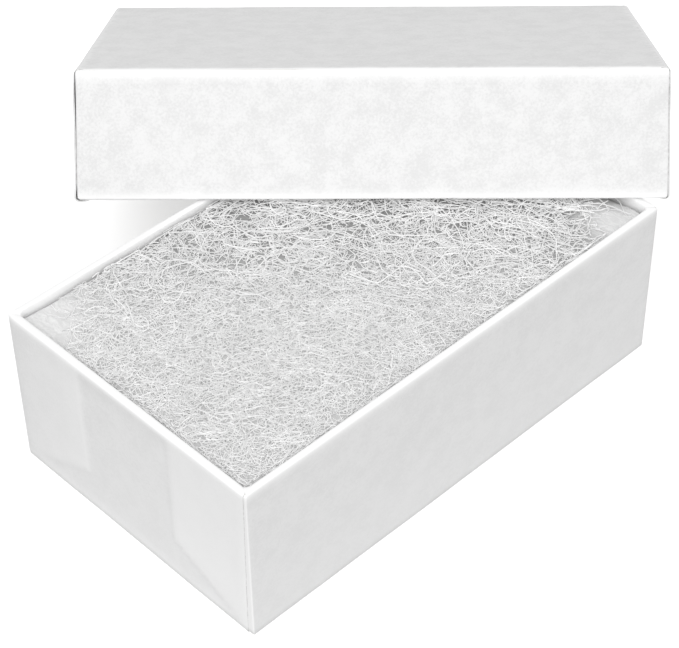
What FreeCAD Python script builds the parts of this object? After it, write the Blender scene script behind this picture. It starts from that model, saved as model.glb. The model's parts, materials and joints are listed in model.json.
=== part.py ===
"""Jewelry gift box: a two-piece set-up box of chipboard wrapped in white paper.

The tray holds a pad of curled fibre. The lid has been taken off and leans on the
tray: the lower edge of its front wall lies across the two far rims, and its back
hangs down behind the tray's back corner.

Frame: millimetres, +Z up, origin at the centre of the tray's underside. The tray's
long sides run along X. Front is -Y and left is -X; on the lid, front is the long
wall that lies on the rims.
"""

import FreeCAD, Part
import os
import Sketcher

# Driving sizes: alias, value in millimetres or degrees, meaning.
SIZES = [
    ("tray_length", 63.5, "tray, outside, along X"),
    ("tray_width", 38.1, "tray, outside, along Y"),
    ("tray_height", 21.4, "tray, outside, underside to rim"),
    ("lid_height", 15.1, "lid, outside, top face to open edge"),
    ("lid_gap", 0.6, "air between tray and lid on each side when closed"),
    ("board_gauge", 0.5, "chipboard thickness"),
    ("wrap_gauge", 0.12, "wrap paper thickness"),
    ("stay_gauge", 0.1, "corner stay tape thickness"),
    ("corner_slit", 0.1, "slit where an end wall meets a side wall of the board"),
    ("stay_leg", 9.5, "how far a corner stay reaches along each wall"),
    ("stay_margin", 0.6, "board left bare above and below a corner stay"),
    ("tab_length", 12.0, "wrap tabs folded round onto the short ends"),
    ("tray_turn_in", 10.0, "wrap turned over the tray's rim and down inside"),
    ("lid_turn_in", 9.0, "wrap turned over the lid's edge and up inside"),
    ("fold_radius", 0.2, "rounding of the wrap's outer folds"),
    ("pad_gap", 0.3, "air between the pad and the tray's lined walls"),
    ("pad_drop", 0.5, "the pad's highest point below the rim"),
    ("pad_shoulder", 2.0, "rounding of the pad's upper edges"),
    ("pad_corner", 2.5, "rounding of the pad's upright corners"),
    ("lid_turn", -44.8, "lid turned about Z from the tray, degrees"),
    ("lid_tilt", 24.0, "lid tipped down towards its back, degrees"),
    ("lid_corner_out", 1.2, "lid's front right corner beyond the tray's, along X"),
    ("lid_corner_back", 0.1, "lid's front right corner behind the tray's, along Y"),
    ("lid_rest_gap", 0.1, "air between the rim and the lid's lowest front edge"),
    ("cut_over", 1.0, "how far a trimming cut runs out past the paper"),
]

# Stacks of layers on the board, as expressions.
SIDE_STACK = "(Sizes.wrap_gauge + Sizes.stay_gauge)"
END_STACK = "(2 * Sizes.wrap_gauge + Sizes.stay_gauge)"
LINED_BOARD = "(Sizes.board_gauge + Sizes.wrap_gauge)"

# The four upright corners: the wall they join, the side they are on, and its sign along X.
CORNERS = [("front", "left", -1), ("front", "right", 1), ("back", "right", 1), ("back", "left", -1)]

# How close to the top an edge must lie to belong to a top face, and how upright an edge must be.
LEVEL_TOLERANCE = 0.001
UPRIGHT = 0.9


class Half:
    """One half of the box, built open side up with its panel's outer face at z = 0."""

    def __init__(self, name, length, width, front):
        self.name = name
        self.front = front  # sign of the front wall's y in this frame
        self.height = f"Sizes.{name}_height"
        self.turn_in = f"Sizes.{name}_turn_in"
        # Half sizes of each outline, worked out from the outside in.
        self.outer = (f"({length} / 2)", f"({width} / 2)")
        self.board = (f"({length} / 2 - {END_STACK})", f"({width} / 2 - {SIDE_STACK})")
        self.room = tuple(f"({half} - Sizes.board_gauge)" for half in self.board)
        self.lined = tuple(f"({half} - {LINED_BOARD})" for half in self.board)
        self.taped = tuple(f"({half} + Sizes.stay_gauge)" for half in self.board)
        self.papered = tuple(f"({half} + Sizes.wrap_gauge)" for half in self.board)


LID_LENGTH = f"(Sizes.tray_length + 2 * (Sizes.lid_gap + {END_STACK} + {LINED_BOARD}))"
LID_WIDTH = f"(Sizes.tray_width + 2 * (Sizes.lid_gap + {SIDE_STACK} + {LINED_BOARD}))"
TRAY = Half("tray", "Sizes.tray_length", "Sizes.tray_width", -1)
LID = Half("lid", LID_LENGTH, LID_WIDTH, 1)


def make_sheet(doc):
    """Spreadsheet of driving sizes, one alias for each."""
    sheet = doc.addObject("Spreadsheet::Sheet", "Sizes")
    for row, (alias, value, meaning) in enumerate(SIZES, start=1):
        sheet.set(f"A{row}", meaning)
        sheet.set(f"B{row}", str(value))
        sheet.setAlias(f"B{row}", alias)
    doc.recompute()
    return sheet


def make_lid_frame(doc):
    """Where the lid lies: its front right corner by the tray's, tipped down to the back."""
    frame = doc.addObject("App::Placement", "LidFrame")
    turn, tilt = "Sizes.lid_turn", "Sizes.lid_tilt"
    half_length, half_width = LID.outer
    back = f"({half_width} * cos({tilt}) + {LID.height} * sin({tilt}))"
    corner_x = "(Sizes.tray_length / 2 + Sizes.lid_corner_out)"
    corner_y = "(Sizes.lid_corner_back - Sizes.tray_width / 2)"
    front_wall = f"({SIDE_STACK} + {LINED_BOARD})"
    edge = f"(Sizes.tray_height + Sizes.lid_rest_gap + {front_wall} * sin({tilt}))"
    base = {
        "x": f"{corner_x} - {half_length} * cos({turn}) - {back} * sin({turn})",
        "y": f"{corner_y} - {half_length} * sin({turn}) + {back} * cos({turn})",
        "z": f"{edge} + {LID.height} * cos({tilt}) - {half_width} * sin({tilt})",
    }
    for axis, place in base.items():
        frame.setExpression(f"Placement.Base.{axis}", place)
    axis_z, axis_x = "create(<<vector>>; 0; 0; 1)", "create(<<vector>>; 1; 0; 0)"
    frame.setExpression(
        "Placement.Rotation",
        f"create(<<rotation>>; {axis_z}; {turn}) * create(<<rotation>>; {axis_x}; 180 - {tilt})",
    )
    return frame


def make_body(doc, label, half):
    """Body for one piece; the lid's pieces ride on the lid's frame."""
    body = doc.addObject("PartDesign::Body", label)
    body.Label = label
    if half is LID:
        body.setExpression("Placement", "LidFrame.Placement")
    return body


def number(body, text):
    """Value of an expression as a plain float."""
    return float(body.evalExpression(text))


def draw(body, name, level, loops):
    """Sketch of closed straight-sided loops at a level, each corner bound to the sheet.

    A corner is a pair of expressions; a leading minus puts it on the negative side.
    """
    sketch = body.newObject("Sketcher::SketchObject", name)
    plane = next(item for item in body.Origin.OriginFeatures if item.Role == "XY_Plane")
    sketch.AttachmentSupport = [(plane, "")]
    sketch.MapMode = "FlatFace"
    sketch.setExpression("AttachmentOffset.Base.z", level)
    for loop in loops:
        start = sketch.GeometryCount
        points = [FreeCAD.Vector(number(body, x), number(body, y), 0) for x, y in loop]
        for index, point in enumerate(points):
            sketch.addGeometry(Part.LineSegment(point, points[(index + 1) % len(points)]), False)
        for index, (x, y) in enumerate(loop):
            line = start + index
            before = start + (index - 1) % len(loop)
            sketch.addConstraint(Sketcher.Constraint("Coincident", before, 2, line, 1))
            for kind, text in (("DistanceX", x), ("DistanceY", y)):
                ends = (line, 1, -1, 1) if text.startswith("-") else (-1, 1, line, 1)
                size = text.lstrip("-")
                datum = sketch.addConstraint(Sketcher.Constraint(kind, *ends, number(body, size)))
                sketch.setExpression(f"Constraints[{datum}]", size)
    return sketch


def band(x_ends, y_ends):
    """Corners of a rectangle, from its two ends along X and along Y."""
    (x_low, x_high), (y_low, y_high) = x_ends, y_ends
    return [(x_low, y_low), (x_high, y_low), (x_high, y_high), (x_low, y_high)]


def rectangle(x, y):
    """Corners of a rectangle centred on the origin, from its half sizes."""
    return band(["-" + x, x], ["-" + y, y])


def angle_piece(half, x_sign, y_sign):
    """L outline of a corner stay, lying on the outside of the board's corner."""
    x_end = f"({half.board[0]} - Sizes.stay_leg)"
    y_end = f"({half.board[1]} - Sizes.stay_leg)"
    corners = [
        (x_end, half.board[1]),
        half.board,
        (half.board[0], y_end),
        (half.taped[0], y_end),
        half.taped,
        (x_end, half.taped[1]),
    ]
    return [(x_sign + x, y_sign + y) for x, y in corners]


def quarters():
    """Sign prefixes of the four quarters of a sketch."""
    return [("", ""), ("-", ""), ("-", "-"), ("", "-")]


def add_pad(body, name, level, height, loops):
    """Raise loops from a level."""
    sketch = draw(body, name + "_sketch", level, loops)
    feature = body.newObject("PartDesign::Pad", name)
    feature.Profile = sketch
    feature.setExpression("Length", height)
    return feature


def add_cut(body, name, level, height, loops):
    """Cut loops upwards from a level, and make sure that the cut removes material."""
    body.Document.recompute()
    before = body.Shape.Volume
    sketch = draw(body, name + "_sketch", level, loops)
    feature = body.newObject("PartDesign::Pocket", name)
    feature.Profile = sketch
    feature.Reversed = True
    feature.setExpression("Length", height)
    body.Document.recompute()
    if body.Shape.Volume >= before:
        raise RuntimeError(f"{name} cuts nothing")
    return feature


def add_fillet(body, name, base, edges, radius):
    """Round the named edges of the last feature."""
    feature = body.newObject("PartDesign::Fillet", name)
    feature.Base = (base, edges)
    feature.setExpression("Radius", radius)
    return feature


def edges_where(shape, wanted):
    """Names of the shape's edges that pass a test."""
    return [f"Edge{index}" for index, edge in enumerate(shape.Edges, start=1) if wanted(edge)]


def is_upright(edge):
    """Whether an edge runs along Z."""
    return abs(edge.tangentAt(edge.FirstParameter).z) > UPRIGHT


def make_board(doc, half):
    """Chipboard blank: a panel with four walls folded up, slit at the corners."""
    body = make_body(doc, f"{half.name}_board", half)
    top = f"({half.height} - Sizes.wrap_gauge)"
    add_pad(body, f"{half.name}_blank", "Sizes.wrap_gauge", f"{top} - Sizes.wrap_gauge",
            [rectangle(*half.board)])
    add_cut(body, f"{half.name}_hollow", LINED_BOARD, f"{top} - {LINED_BOARD}",
            [rectangle(*half.room)])
    slit_end = f"({half.room[1]} - Sizes.corner_slit)"
    slits = [
        band([x_sign + half.room[0], x_sign + half.board[0]], [y_sign + slit_end, y_sign + half.room[1]])
        for x_sign, y_sign in quarters()
    ]
    add_cut(body, f"{half.name}_slits", LINED_BOARD, f"{top} - {LINED_BOARD}", slits)
    return body


def make_stay(doc, half, wall, side, x_direction):
    """Paper tape folded round one upright corner of the board."""
    label = f"{half.name}_stay_{wall}_{side}"
    y_direction = half.front if wall == "front" else -half.front
    x_sign = "" if x_direction > 0 else "-"
    y_sign = "" if y_direction > 0 else "-"
    body = make_body(doc, label, half)
    start = "(Sizes.wrap_gauge + Sizes.stay_margin)"
    height = f"{half.height} - 2 * {start}"
    add_pad(body, f"{label}_strip", start, height, [angle_piece(half, x_sign, y_sign)])
    return body


def make_wrap(doc, half):
    """White paper glued round the board: one sheet, over the rim and down inside."""
    body = make_body(doc, f"{half.name}_wrap", half)
    name = half.name
    block = add_pad(body, f"{name}_wrapped_outline", "0", half.height, [rectangle(*half.outer)])
    doc.recompute()
    folds = [f"Edge{index}" for index in range(1, len(block.Shape.Edges) + 1)]
    add_fillet(body, f"{name}_folds", block, folds, "Sizes.fold_radius")

    # Between the tabs on the ends, and between the stays on the sides, the paper steps
    # down to lie on the bare board.
    tab_end = f"({half.board[1]} - Sizes.tab_length)"
    stay_end = f"({half.board[0]} - Sizes.stay_leg)"
    over_x, over_y = (f"({edge} + Sizes.cut_over)" for edge in half.outer)
    steps = []
    for sign in ("", "-"):
        near_x, far_x = sign + half.papered[0], sign + over_x
        near_y, far_y = sign + half.papered[1], sign + over_y
        steps.append(band([near_x, far_x], ["-" + tab_end, tab_end]))
        steps.append(band(["-" + stay_end, stay_end], [near_y, far_y]))
    add_cut(body, f"{name}_steps", "0", half.height, steps)

    # Room inside for the board, the stays and the air.
    under_rim = f"{half.height} - 2 * Sizes.wrap_gauge"
    lip = f"({half.height} - {half.turn_in})"
    add_cut(body, f"{name}_mouth", lip, half.turn_in, [rectangle(*half.lined)])
    add_cut(body, f"{name}_inside", "Sizes.wrap_gauge", f"{lip} - Sizes.wrap_gauge",
            [rectangle(*half.room)])
    add_cut(body, f"{name}_wall_room", "Sizes.wrap_gauge", under_rim,
            [rectangle(*half.board), rectangle(*half.room)])
    stay_start = "(Sizes.wrap_gauge + Sizes.stay_margin)"
    stay_rooms = [angle_piece(half, x_sign, y_sign) for x_sign, y_sign in quarters()]
    add_cut(body, f"{name}_stay_room", stay_start, f"{half.height} - 2 * {stay_start}", stay_rooms)
    return body


def make_fill_pad(doc):
    """Pad of curled fibre that fills the tray, with soft upper edges."""
    body = make_body(doc, "fill_pad", TRAY)
    half_sizes = [f"({half} - Sizes.pad_gap)" for half in TRAY.lined]
    top = "(Sizes.tray_height - Sizes.pad_drop)"
    block = add_pad(body, "pad_block", LINED_BOARD, f"{top} - {LINED_BOARD}",
                    [rectangle(*half_sizes)])
    doc.recompute()
    upright = edges_where(block.Shape, is_upright)
    corners = add_fillet(body, "pad_corners", block, upright, "Sizes.pad_corner")
    doc.recompute()
    level = number(body, top) - LEVEL_TOLERANCE
    upper = edges_where(corners.Shape, lambda edge: edge.BoundBox.ZMin > level)
    add_fillet(body, "pad_shoulders", corners, upper, "Sizes.pad_shoulder")
    return body


def make_half(doc, half):
    """Board, corner stays and wrap of the tray or the lid."""
    pieces = [make_board(doc, half)]
    for wall, side, x_direction in CORNERS:
        pieces.append(make_stay(doc, half, wall, side, x_direction))
    pieces.append(make_wrap(doc, half))
    return pieces


def check(doc, pieces):
    """Stop if any object failed, or if any piece isn't one valid solid."""
    for item in doc.Objects:
        if "Invalid" in item.State or "Error" in item.State:
            raise RuntimeError(f"{item.Label} failed: {item.State}")
    for piece in pieces:
        shape = piece.Shape
        if shape.isNull() or not shape.isValid() or len(shape.Solids) != 1:
            raise RuntimeError(f"{piece.Label} isn't one valid solid")


def export(pieces):
    """Write each piece to its own STEP file."""
    os.makedirs("parts", exist_ok=True)
    for piece in pieces:
        piece.Shape.exportStep(f"parts/{piece.Label}.step")


def main():
    doc = FreeCAD.newDocument("GiftBox")
    make_sheet(doc)
    make_lid_frame(doc)
    pieces = make_half(doc, TRAY)
    pieces.append(make_fill_pad(doc))
    pieces += make_half(doc, LID)
    doc.recompute()
    check(doc, pieces)
    export(pieces)
    for piece in pieces:
        box = piece.Shape.BoundBox
        print(f"{piece.Label}: {piece.Shape.Volume:.2f} mm3, z {box.ZMin:.2f} to {box.ZMax:.2f}")


main()
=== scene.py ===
"""Jewelry gift box: the looks of a two-piece set-up box wrapped in white paper, with a fibre pad."""

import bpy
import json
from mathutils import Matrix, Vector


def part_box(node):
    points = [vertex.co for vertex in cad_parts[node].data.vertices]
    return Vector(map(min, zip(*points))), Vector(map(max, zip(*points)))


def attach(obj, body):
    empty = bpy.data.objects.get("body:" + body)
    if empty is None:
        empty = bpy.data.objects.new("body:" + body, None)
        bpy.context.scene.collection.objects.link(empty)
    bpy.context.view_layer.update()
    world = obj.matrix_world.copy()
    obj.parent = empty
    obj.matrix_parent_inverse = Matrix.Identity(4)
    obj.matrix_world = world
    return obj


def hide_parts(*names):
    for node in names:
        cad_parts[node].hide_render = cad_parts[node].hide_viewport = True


bl_info = {
    "name": "Jewelry gift box",
    "version": (1, 0, 0),
    "blender": (4, 5, 0),
    "location": "View3D > Sidebar > Gift Box",
    "description": "Builds the wrap paper, the curled fibre pad and the studio round the box's frame",
    "category": "Object",
}

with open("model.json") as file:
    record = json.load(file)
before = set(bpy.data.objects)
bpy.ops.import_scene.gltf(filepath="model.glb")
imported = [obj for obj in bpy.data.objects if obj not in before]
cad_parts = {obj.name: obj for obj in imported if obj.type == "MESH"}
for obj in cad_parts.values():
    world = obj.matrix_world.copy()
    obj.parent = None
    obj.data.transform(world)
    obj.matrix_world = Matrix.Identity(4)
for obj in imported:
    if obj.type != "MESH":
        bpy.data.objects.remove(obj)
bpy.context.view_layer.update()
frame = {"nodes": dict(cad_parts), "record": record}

import json
import math

import bmesh
import bpy
from bpy.props import FloatProperty, FloatVectorProperty, IntProperty, PointerProperty
from mathutils import Matrix, Vector, noise

MM = 0.001
WORLD_FRAME = Matrix.Identity(4)

WRAP_SLOT, BOARD_SLOT, TAPE_SLOT, FIBRE_SLOT = "wrap_paper", "chipboard", "stay_tape", "fibre_fill"
TRAY_BODY, LID_BODY, FILL_BODY = "tray", "lid", "fill"


# ---------------------------------------------------------------- settings

def linear(code):
    """Linear RGB from an sRGB hex value."""
    channels = [int(code[i:i + 2], 16) / 255 for i in (0, 2, 4)]
    return tuple(c / 12.92 if c <= 0.04045 else ((c + 0.055) / 1.055) ** 2.4 for c in channels)


def length(name, millimetres, description):
    """A length that a user can change, stored in metres."""
    return FloatProperty(name=name, default=millimetres * MM, description=description, subtype="DISTANCE",
                         unit="LENGTH", precision=5)


def share(name, default, description, highest=10.0):
    """A plain number that a user can change."""
    return FloatProperty(name=name, default=default, min=0, max=highest, description=description,
                         subtype="FACTOR" if highest == 1 else "NONE")


def angle(name, degrees, description):
    """An angle that a user can change."""
    return FloatProperty(name=name, default=math.radians(degrees), description=description,
                         subtype="ANGLE", unit="ROTATION")


def colour(name, code, description):
    """A colour that a user can change, given as an sRGB hex value."""
    return FloatVectorProperty(name=name, default=linear(code), size=3, min=0, max=1, subtype="COLOR",
                               description=description)


def count(name, default, description):
    """A whole number that a user can change."""
    return IntProperty(name=name, default=default, min=1, description=description)


class PaperSettings(bpy.types.PropertyGroup):
    """Wrap paper, its folds, laps and finish."""

    gauge: length("Gauge", 0.12, "Thickness of the wrap paper")
    long_stack: length("Long wall", 0.84, "Thickness of a long wall: paper, tape, board and lining")
    end_stack: length("End wall", 0.96, "Thickness of a short wall, which has a tab more")
    fold_radius: length("Corner fold", 0.2, "Radius of an upright fold")
    tray_panel_radius: length("Underside fold", 0.30, "Radius of the fold round the tray's underside")
    lid_panel_radius: length("Top fold", 0.55, "Radius of the fold round the lid's top")
    lid_flare: length("Lid flare", 0.38, "How far the lid's short ends lean out at the rim")
    inner_radius: length("Inner corner", 0.9, "Radius of the lining in an upright corner")
    rim_radius: length("Rim fold", 0.30, "Radius of the fold over a rim")
    tray_turn_in: length("Tray turn-in", 10.0, "Paper turned down inside the tray")
    lid_turn_in: length("Lid turn-in", 9.0, "Paper turned up inside the lid")
    tab_reach: length("Tab reach", 12.0, "How far a long wall's tab reaches round onto a short end")
    tab_cut: length("Tab cut", 5.6, "Height at which a tab's slanting lower edge begins")
    tab_ramp: length("Tab ramp", 0.45, "Width of the slope where paper steps down off a tab")
    step: length("Mesh step", 0.6, "Mesh spacing on the walls")
    wave: length("Wave", 0.035, "How far the paper's slow waves stand in or out")
    colour: colour("Paper", "F1F1F1", "Colour of the wrap paper")
    lid_cloud: colour("Lid cloud", "E5E5E5", "Colour of the cloudy patches on the lid's paper")
    tray_cloud: colour("Tray cloud", "EBEBEB", "Colour of the cloudy patches on the tray's paper")
    # White of the painted highlight on folds and rims, also used for the tray's paper over a tab and for its
    # painted floor light.
    highlighted: colour("Fold highlight", "FEFEFE", "Colour of the paper where a fold has rubbed it")
    # The cut edge's darkness is partly the glue's own colour and partly painted shade in the seams' narrow
    # gaps.
    edge: colour("Cut edge", "B4B4B2", "Colour of a cut edge with its line of glue")
    cloud_size: length("Cloud size", 2.6, "Size of the cloudy patches")
    grain_size: length("Grain", 0.30, "Size of the paper's fine tooth")


class BoardSettings(bpy.types.PropertyGroup):
    """Chipboard and the stay tape on its corners."""

    colour: colour("Board", "C9C6BD", "Colour of the chipboard")
    fleck: colour("Fleck", "8F8B80", "Colour of the fibre flecks in the board")
    tape: colour("Tape", "D8CDB4", "Colour of the gummed stay tape")
    fleck_size: length("Fleck size", 0.8, "Size of the flecks")


class PadSettings(bpy.types.PropertyGroup):
    """Pad's body, a pillow of polyester fibre."""

    crown: length("Crown", 20.75, "Height of the pad's body at its middle")
    right_drop: length("Right drop", 0.5, "How far the pad sinks in its right corner")
    left_drop: length("Left drop", 0.3, "How far the pad sinks in its left corner")
    near_drop: length("Near drop", 0.2, "How far the pad sinks in its near and far corners")
    drop_reach: length("Drop reach", 6.0, "How far from a corner the pad sinks")
    shoulder: length("Shoulder", 6.0, "Depth over which the pad's upper edge fills out")
    lower_round: length("Lower round", 1.8, "How far the lower corners round up from the tray's floor")
    fullness: share("Fullness", 4.0, "How squarely the upper edge fills the tray")
    voxel: length("Voxel", 1.3, "Spacing of the simulated cloth")
    clearance: length("Clearance", 0.08, "Space kept to the tray's lining")
    lump: length("Lump", 0.25, "Height of the pad's soft lumps")
    colour: colour("Pad", "F0F0F0", "Colour of the packed fibre")
    # The next two colours are painted shade: grey between the packed strands, and darker grey deep between
    # the fibres.
    gap: colour("Gap", "DEDEDE", "Colour between the packed fibres")
    depth_shade: colour("Deep", "929292", "Colour deep between the fibres where they lie loosest")
    strand: length("Strand", 0.16, "Width of the packed strands")


class FibreSettings(bpy.types.PropertyGroup):
    """Loose curled fibres on the pad."""

    layers: count("Layers", 4, "Layers of short fibres")
    fibres: count("Fibres", 2150, "Fibres in one layer")
    thickness: length("Thickness", 0.10, "Thickness of a fibre, thicker than real so that it shows")
    length: length("Length", 3.6, "Length of a short fibre before it curls")
    curl: length("Curl", 1.7, "Size of a short fibre's curls")
    turns: share("Turns", 3.2, "How often a fibre winds about")
    lift: length("Lift", 0.35, "Height of the top layer above the pad's body")
    long_layers: count("Long layers", 2, "Layers of long fibres on the raised side")
    long_fibres: count("Long fibres", 460, "Fibres in one long layer")
    long_thickness: length("Long thickness", 0.14, "Thickness of a long fibre")
    long_length: length("Long length", 8.0, "Length of a long fibre before it curls")
    long_curl: length("Long curl", 4.2, "Size of a long fibre's loops")
    heading: angle("Heading", -84.0, "Way that most of the long fibres lie, from +X")
    spread: angle("Spread", 62.0, "How far to each side of it they may lie")
    left_bare: length("Left bare", 9.5, "Reach of the smooth patch in the left corner")
    right_bare: length("Right bare", 9.0, "Reach of the smooth patch in the right corner")
    thinning: share("Thinning", 0.72, "How far the short fibres thin out on the raised side")
    top: length("Top", 21.3, "Height that no fibre passes")
    rim_drop: length("Rim drop", 0.4, "How much lower that height is along the walls")
    margin: length("Margin", 0.5, "Farthest that a fibre turns back before a wall")
    seed: count("Seed", 11, "Start of the random draws")
    glow: share("Glow", 0.12, "Stands for the light that clear fibres pass on to each other", 1)
    colour: colour("Fibre", "FDFDFD", "Colour of a fibre")
    shade: colour("Shade", "E4E4E4", "Colour of the dullest fibres")


class StageSettings(bpy.types.PropertyGroup):
    """Floor, light and camera."""

    floor_radius: length("Floor", 2500.0, "Radius of the floor")
    floor_colour: colour("Floor colour", "FAFAFA", "Colour of the floor")
    floor_bounce: colour("Floor bounce", "BCBCBC", "Colour of the floor in the light it throws back")
    floor_glow: share("Floor glow", 0.45, "How far the floor is lifted towards white", 1)
    sky: share("Sky", 0.685, "Strength of the even light from all round")
    key: share("Key", 3.55, "Power of the large soft lamp, in watts")
    key_size: length("Key size", 700.0, "Width of the large soft lamp")
    key_azimuth: angle("Key azimuth", 47.0, "Direction the lamp shines towards, from +Y to +X")
    key_elevation: angle("Key elevation", 44.0, "How steeply the lamp shines down")
    key_distance: length("Key distance", 800.0, "Distance of the lamp")
    lens: share("Lens", 110.74, "Focal length in millimetres on a 36 mm wide sensor", 500)
    azimuth: angle("Azimuth", 43.58, "Direction the camera looks in, from +Y to +X")
    elevation: angle("Elevation", 42.33, "How steeply the camera looks down")
    roll: angle("Roll", 0.95, "Turn of the camera about its own axis")
    distance: length("Distance", 236.67, "Distance from the camera to its aim")
    aim_x: length("Aim X", -0.5, "Place of the point that camera and lamp aim at")
    aim_y: length("Aim Y", -0.1, "Place of the point that camera and lamp aim at")
    aim_height: length("Aim height", 12.0, "Height of the point that camera and lamp aim at")


class GiftBoxSettings(bpy.types.PropertyGroup):
    """All settings of the gift box."""

    paper: PointerProperty(type=PaperSettings)
    board: PointerProperty(type=BoardSettings)
    pad: PointerProperty(type=PadSettings)
    fibre: PointerProperty(type=FibreSettings)
    stage: PointerProperty(type=StageSettings)


def settings():
    """The scene's own settings of the gift box."""
    return bpy.context.scene.gift_box


# ---------------------------------------------------------------- nodes and materials

def add_node(tree, kind, inputs=(), **options):
    """Adds a node. Inputs go by name or in order, each a value, or the socket or node that feeds it."""
    node = tree.nodes.new(kind)
    for name, value in options.items():
        setattr(node, name, value)
    for name, value in inputs.items() if isinstance(inputs, dict) else enumerate(inputs):
        if isinstance(value, bpy.types.Node):
            value = value.outputs[0]
        if isinstance(value, bpy.types.NodeSocket):
            tree.links.new(value, node.inputs[name])
        else:
            node.inputs[name].default_value = value
    return node


def rgba(values):
    """A colour with full alpha."""
    return (*values, 1.0)


def set_stops(ramp, *stops):
    """Sets the ends of a colour ramp, each given as a position and a colour."""
    for element, (position, tone) in zip(ramp.color_ramp.elements, stops):
        element.position = position
        element.color = rgba(tone)


def new_material(name):
    """An empty node material, its tree, and the object's own coordinates."""
    material = bpy.data.materials.new(name)
    material.use_nodes = True
    tree = material.node_tree
    tree.nodes.clear()
    place = add_node(tree, "ShaderNodeTexCoord").outputs["Object"]
    return material, tree, place


def finish_material(material, shader):
    """Links the shader to the material's output and gives the material back."""
    add_node(material.node_tree, "ShaderNodeOutputMaterial", {"Surface": shader})
    return material


def wrap_paper_material(name, paper, cloud):
    """Uncoated white wrap paper, calendered: a matt sheet, cloudy where its pulp lies unevenly.
    It is painted white as a highlight at its folds and rims, painted whiter low on the tray's walls as light
    thrown up from the floor, and made whiter where it lies double over a tab and towards the front of a short
    end."""
    material, tree, place = new_material(name)
    clouds = add_node(tree, "ShaderNodeTexNoise", {
        "Vector": place, "Scale": 1 / paper.cloud_size, "Detail": 5.0, "Roughness": 0.62,
    })
    # The tooth of real paper is about 0.05 mm; it is drawn coarser so that it shows.
    tooth = add_node(tree, "ShaderNodeTexNoise", {
        "Vector": place, "Scale": 1 / paper.grain_size, "Detail": 3.0, "Roughness": 0.6,
    })
    both = add_node(tree, "ShaderNodeMath", (clouds, tooth), operation="ADD")
    dense = add_node(tree, "ShaderNodeMapRange", {
        "Value": both, "From Min": 0.75, "From Max": 1.22,
    }, interpolation_type="SMOOTHSTEP")
    pulp = add_node(tree, "ShaderNodeMixRGB", (dense, rgba(cloud), rgba(paper.colour)))
    # The paper is mixed towards white by a painted highlight on folds and rims, by painted floor light low on
    # the tray's walls, and over the tray's tabs.
    burnish = add_node(tree, "ShaderNodeAttribute", attribute_name="burnish").outputs["Fac"]
    tint = add_node(tree, "ShaderNodeMixRGB", (burnish, pulp, rgba(paper.highlighted)))
    rough = add_node(tree, "ShaderNodeMapRange", {
        "Value": clouds, "From Min": 0.3, "From Max": 0.7, "To Min": 0.62, "To Max": 0.72,
    })
    bump = add_node(tree, "ShaderNodeBump", {"Height": both, "Strength": 0.10, "Distance": 0.05 * MM})
    return finish_material(material, add_node(tree, "ShaderNodeBsdfPrincipled", {
        "Base Color": tint, "Roughness": rough, "Normal": bump, "IOR": 1.45, "Specular IOR Level": 0.35,
    }))


def cut_edge_material(paper):
    """Guillotined paper edge with a trace of animal glue: rougher than the sheet's face, and darker, partly
    from the glue and partly as painted shade in the narrow seams where the edge lies.
    """
    material, tree, place = new_material("wrap_paper_cut_edge")
    smear = add_node(tree, "ShaderNodeTexNoise", {"Vector": place, "Scale": 1 / (0.6 * MM), "Detail": 3.0})
    tint = add_node(tree, "ShaderNodeValToRGB", (smear,))
    set_stops(tint, (0.35, paper.edge), (0.68, paper.lid_cloud))
    return finish_material(material, add_node(tree, "ShaderNodeBsdfPrincipled", {
        "Base Color": tint, "Roughness": 0.8, "IOR": 1.45, "Specular IOR Level": 0.2,
    }))


def board_material(board):
    """Bleached-lined chipboard, rolled from recycled pulp: matt and grey, with short dark flecks."""
    material, tree, place = new_material("chipboard_rolled_grey")
    stretched = add_node(tree, "ShaderNodeMapping", {"Vector": place, "Scale": (1.0, 0.35, 1.0)})
    fleck = add_node(tree, "ShaderNodeTexNoise", {
        "Vector": stretched, "Scale": 1 / board.fleck_size, "Detail": 8.0, "Roughness": 0.75,
    })
    tint = add_node(tree, "ShaderNodeValToRGB", (fleck,))
    set_stops(tint, (0.33, board.fleck), (0.52, board.colour))
    bump = add_node(tree, "ShaderNodeBump", {"Height": fleck, "Strength": 0.35, "Distance": 0.05 * MM})
    return finish_material(material, add_node(tree, "ShaderNodeBsdfPrincipled", {
        "Base Color": tint, "Roughness": 0.85, "Normal": bump, "IOR": 1.45, "Specular IOR Level": 0.25,
    }))


def tape_material(board):
    """Gummed kraft stay tape, moistened and pressed on: matt tan paper with a fine machine direction."""
    material, tree, place = new_material("stay_tape_gummed_kraft")
    stretched = add_node(tree, "ShaderNodeMapping", {"Vector": place, "Scale": (1.0, 1.0, 0.15)})
    streak = add_node(tree, "ShaderNodeTexNoise", {
        "Vector": stretched, "Scale": 1 / (0.25 * MM), "Detail": 5.0, "Roughness": 0.7,
    })
    tint = add_node(tree, "ShaderNodeValToRGB", (streak,))
    set_stops(tint, (0.3, [0.8 * c for c in board.tape]), (0.7, board.tape))
    bump = add_node(tree, "ShaderNodeBump", {"Height": streak, "Strength": 0.3, "Distance": 0.03 * MM})
    return finish_material(material, add_node(tree, "ShaderNodeBsdfPrincipled", {
        "Base Color": tint, "Roughness": 0.6, "Normal": bump, "IOR": 1.45,
    }))


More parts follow.
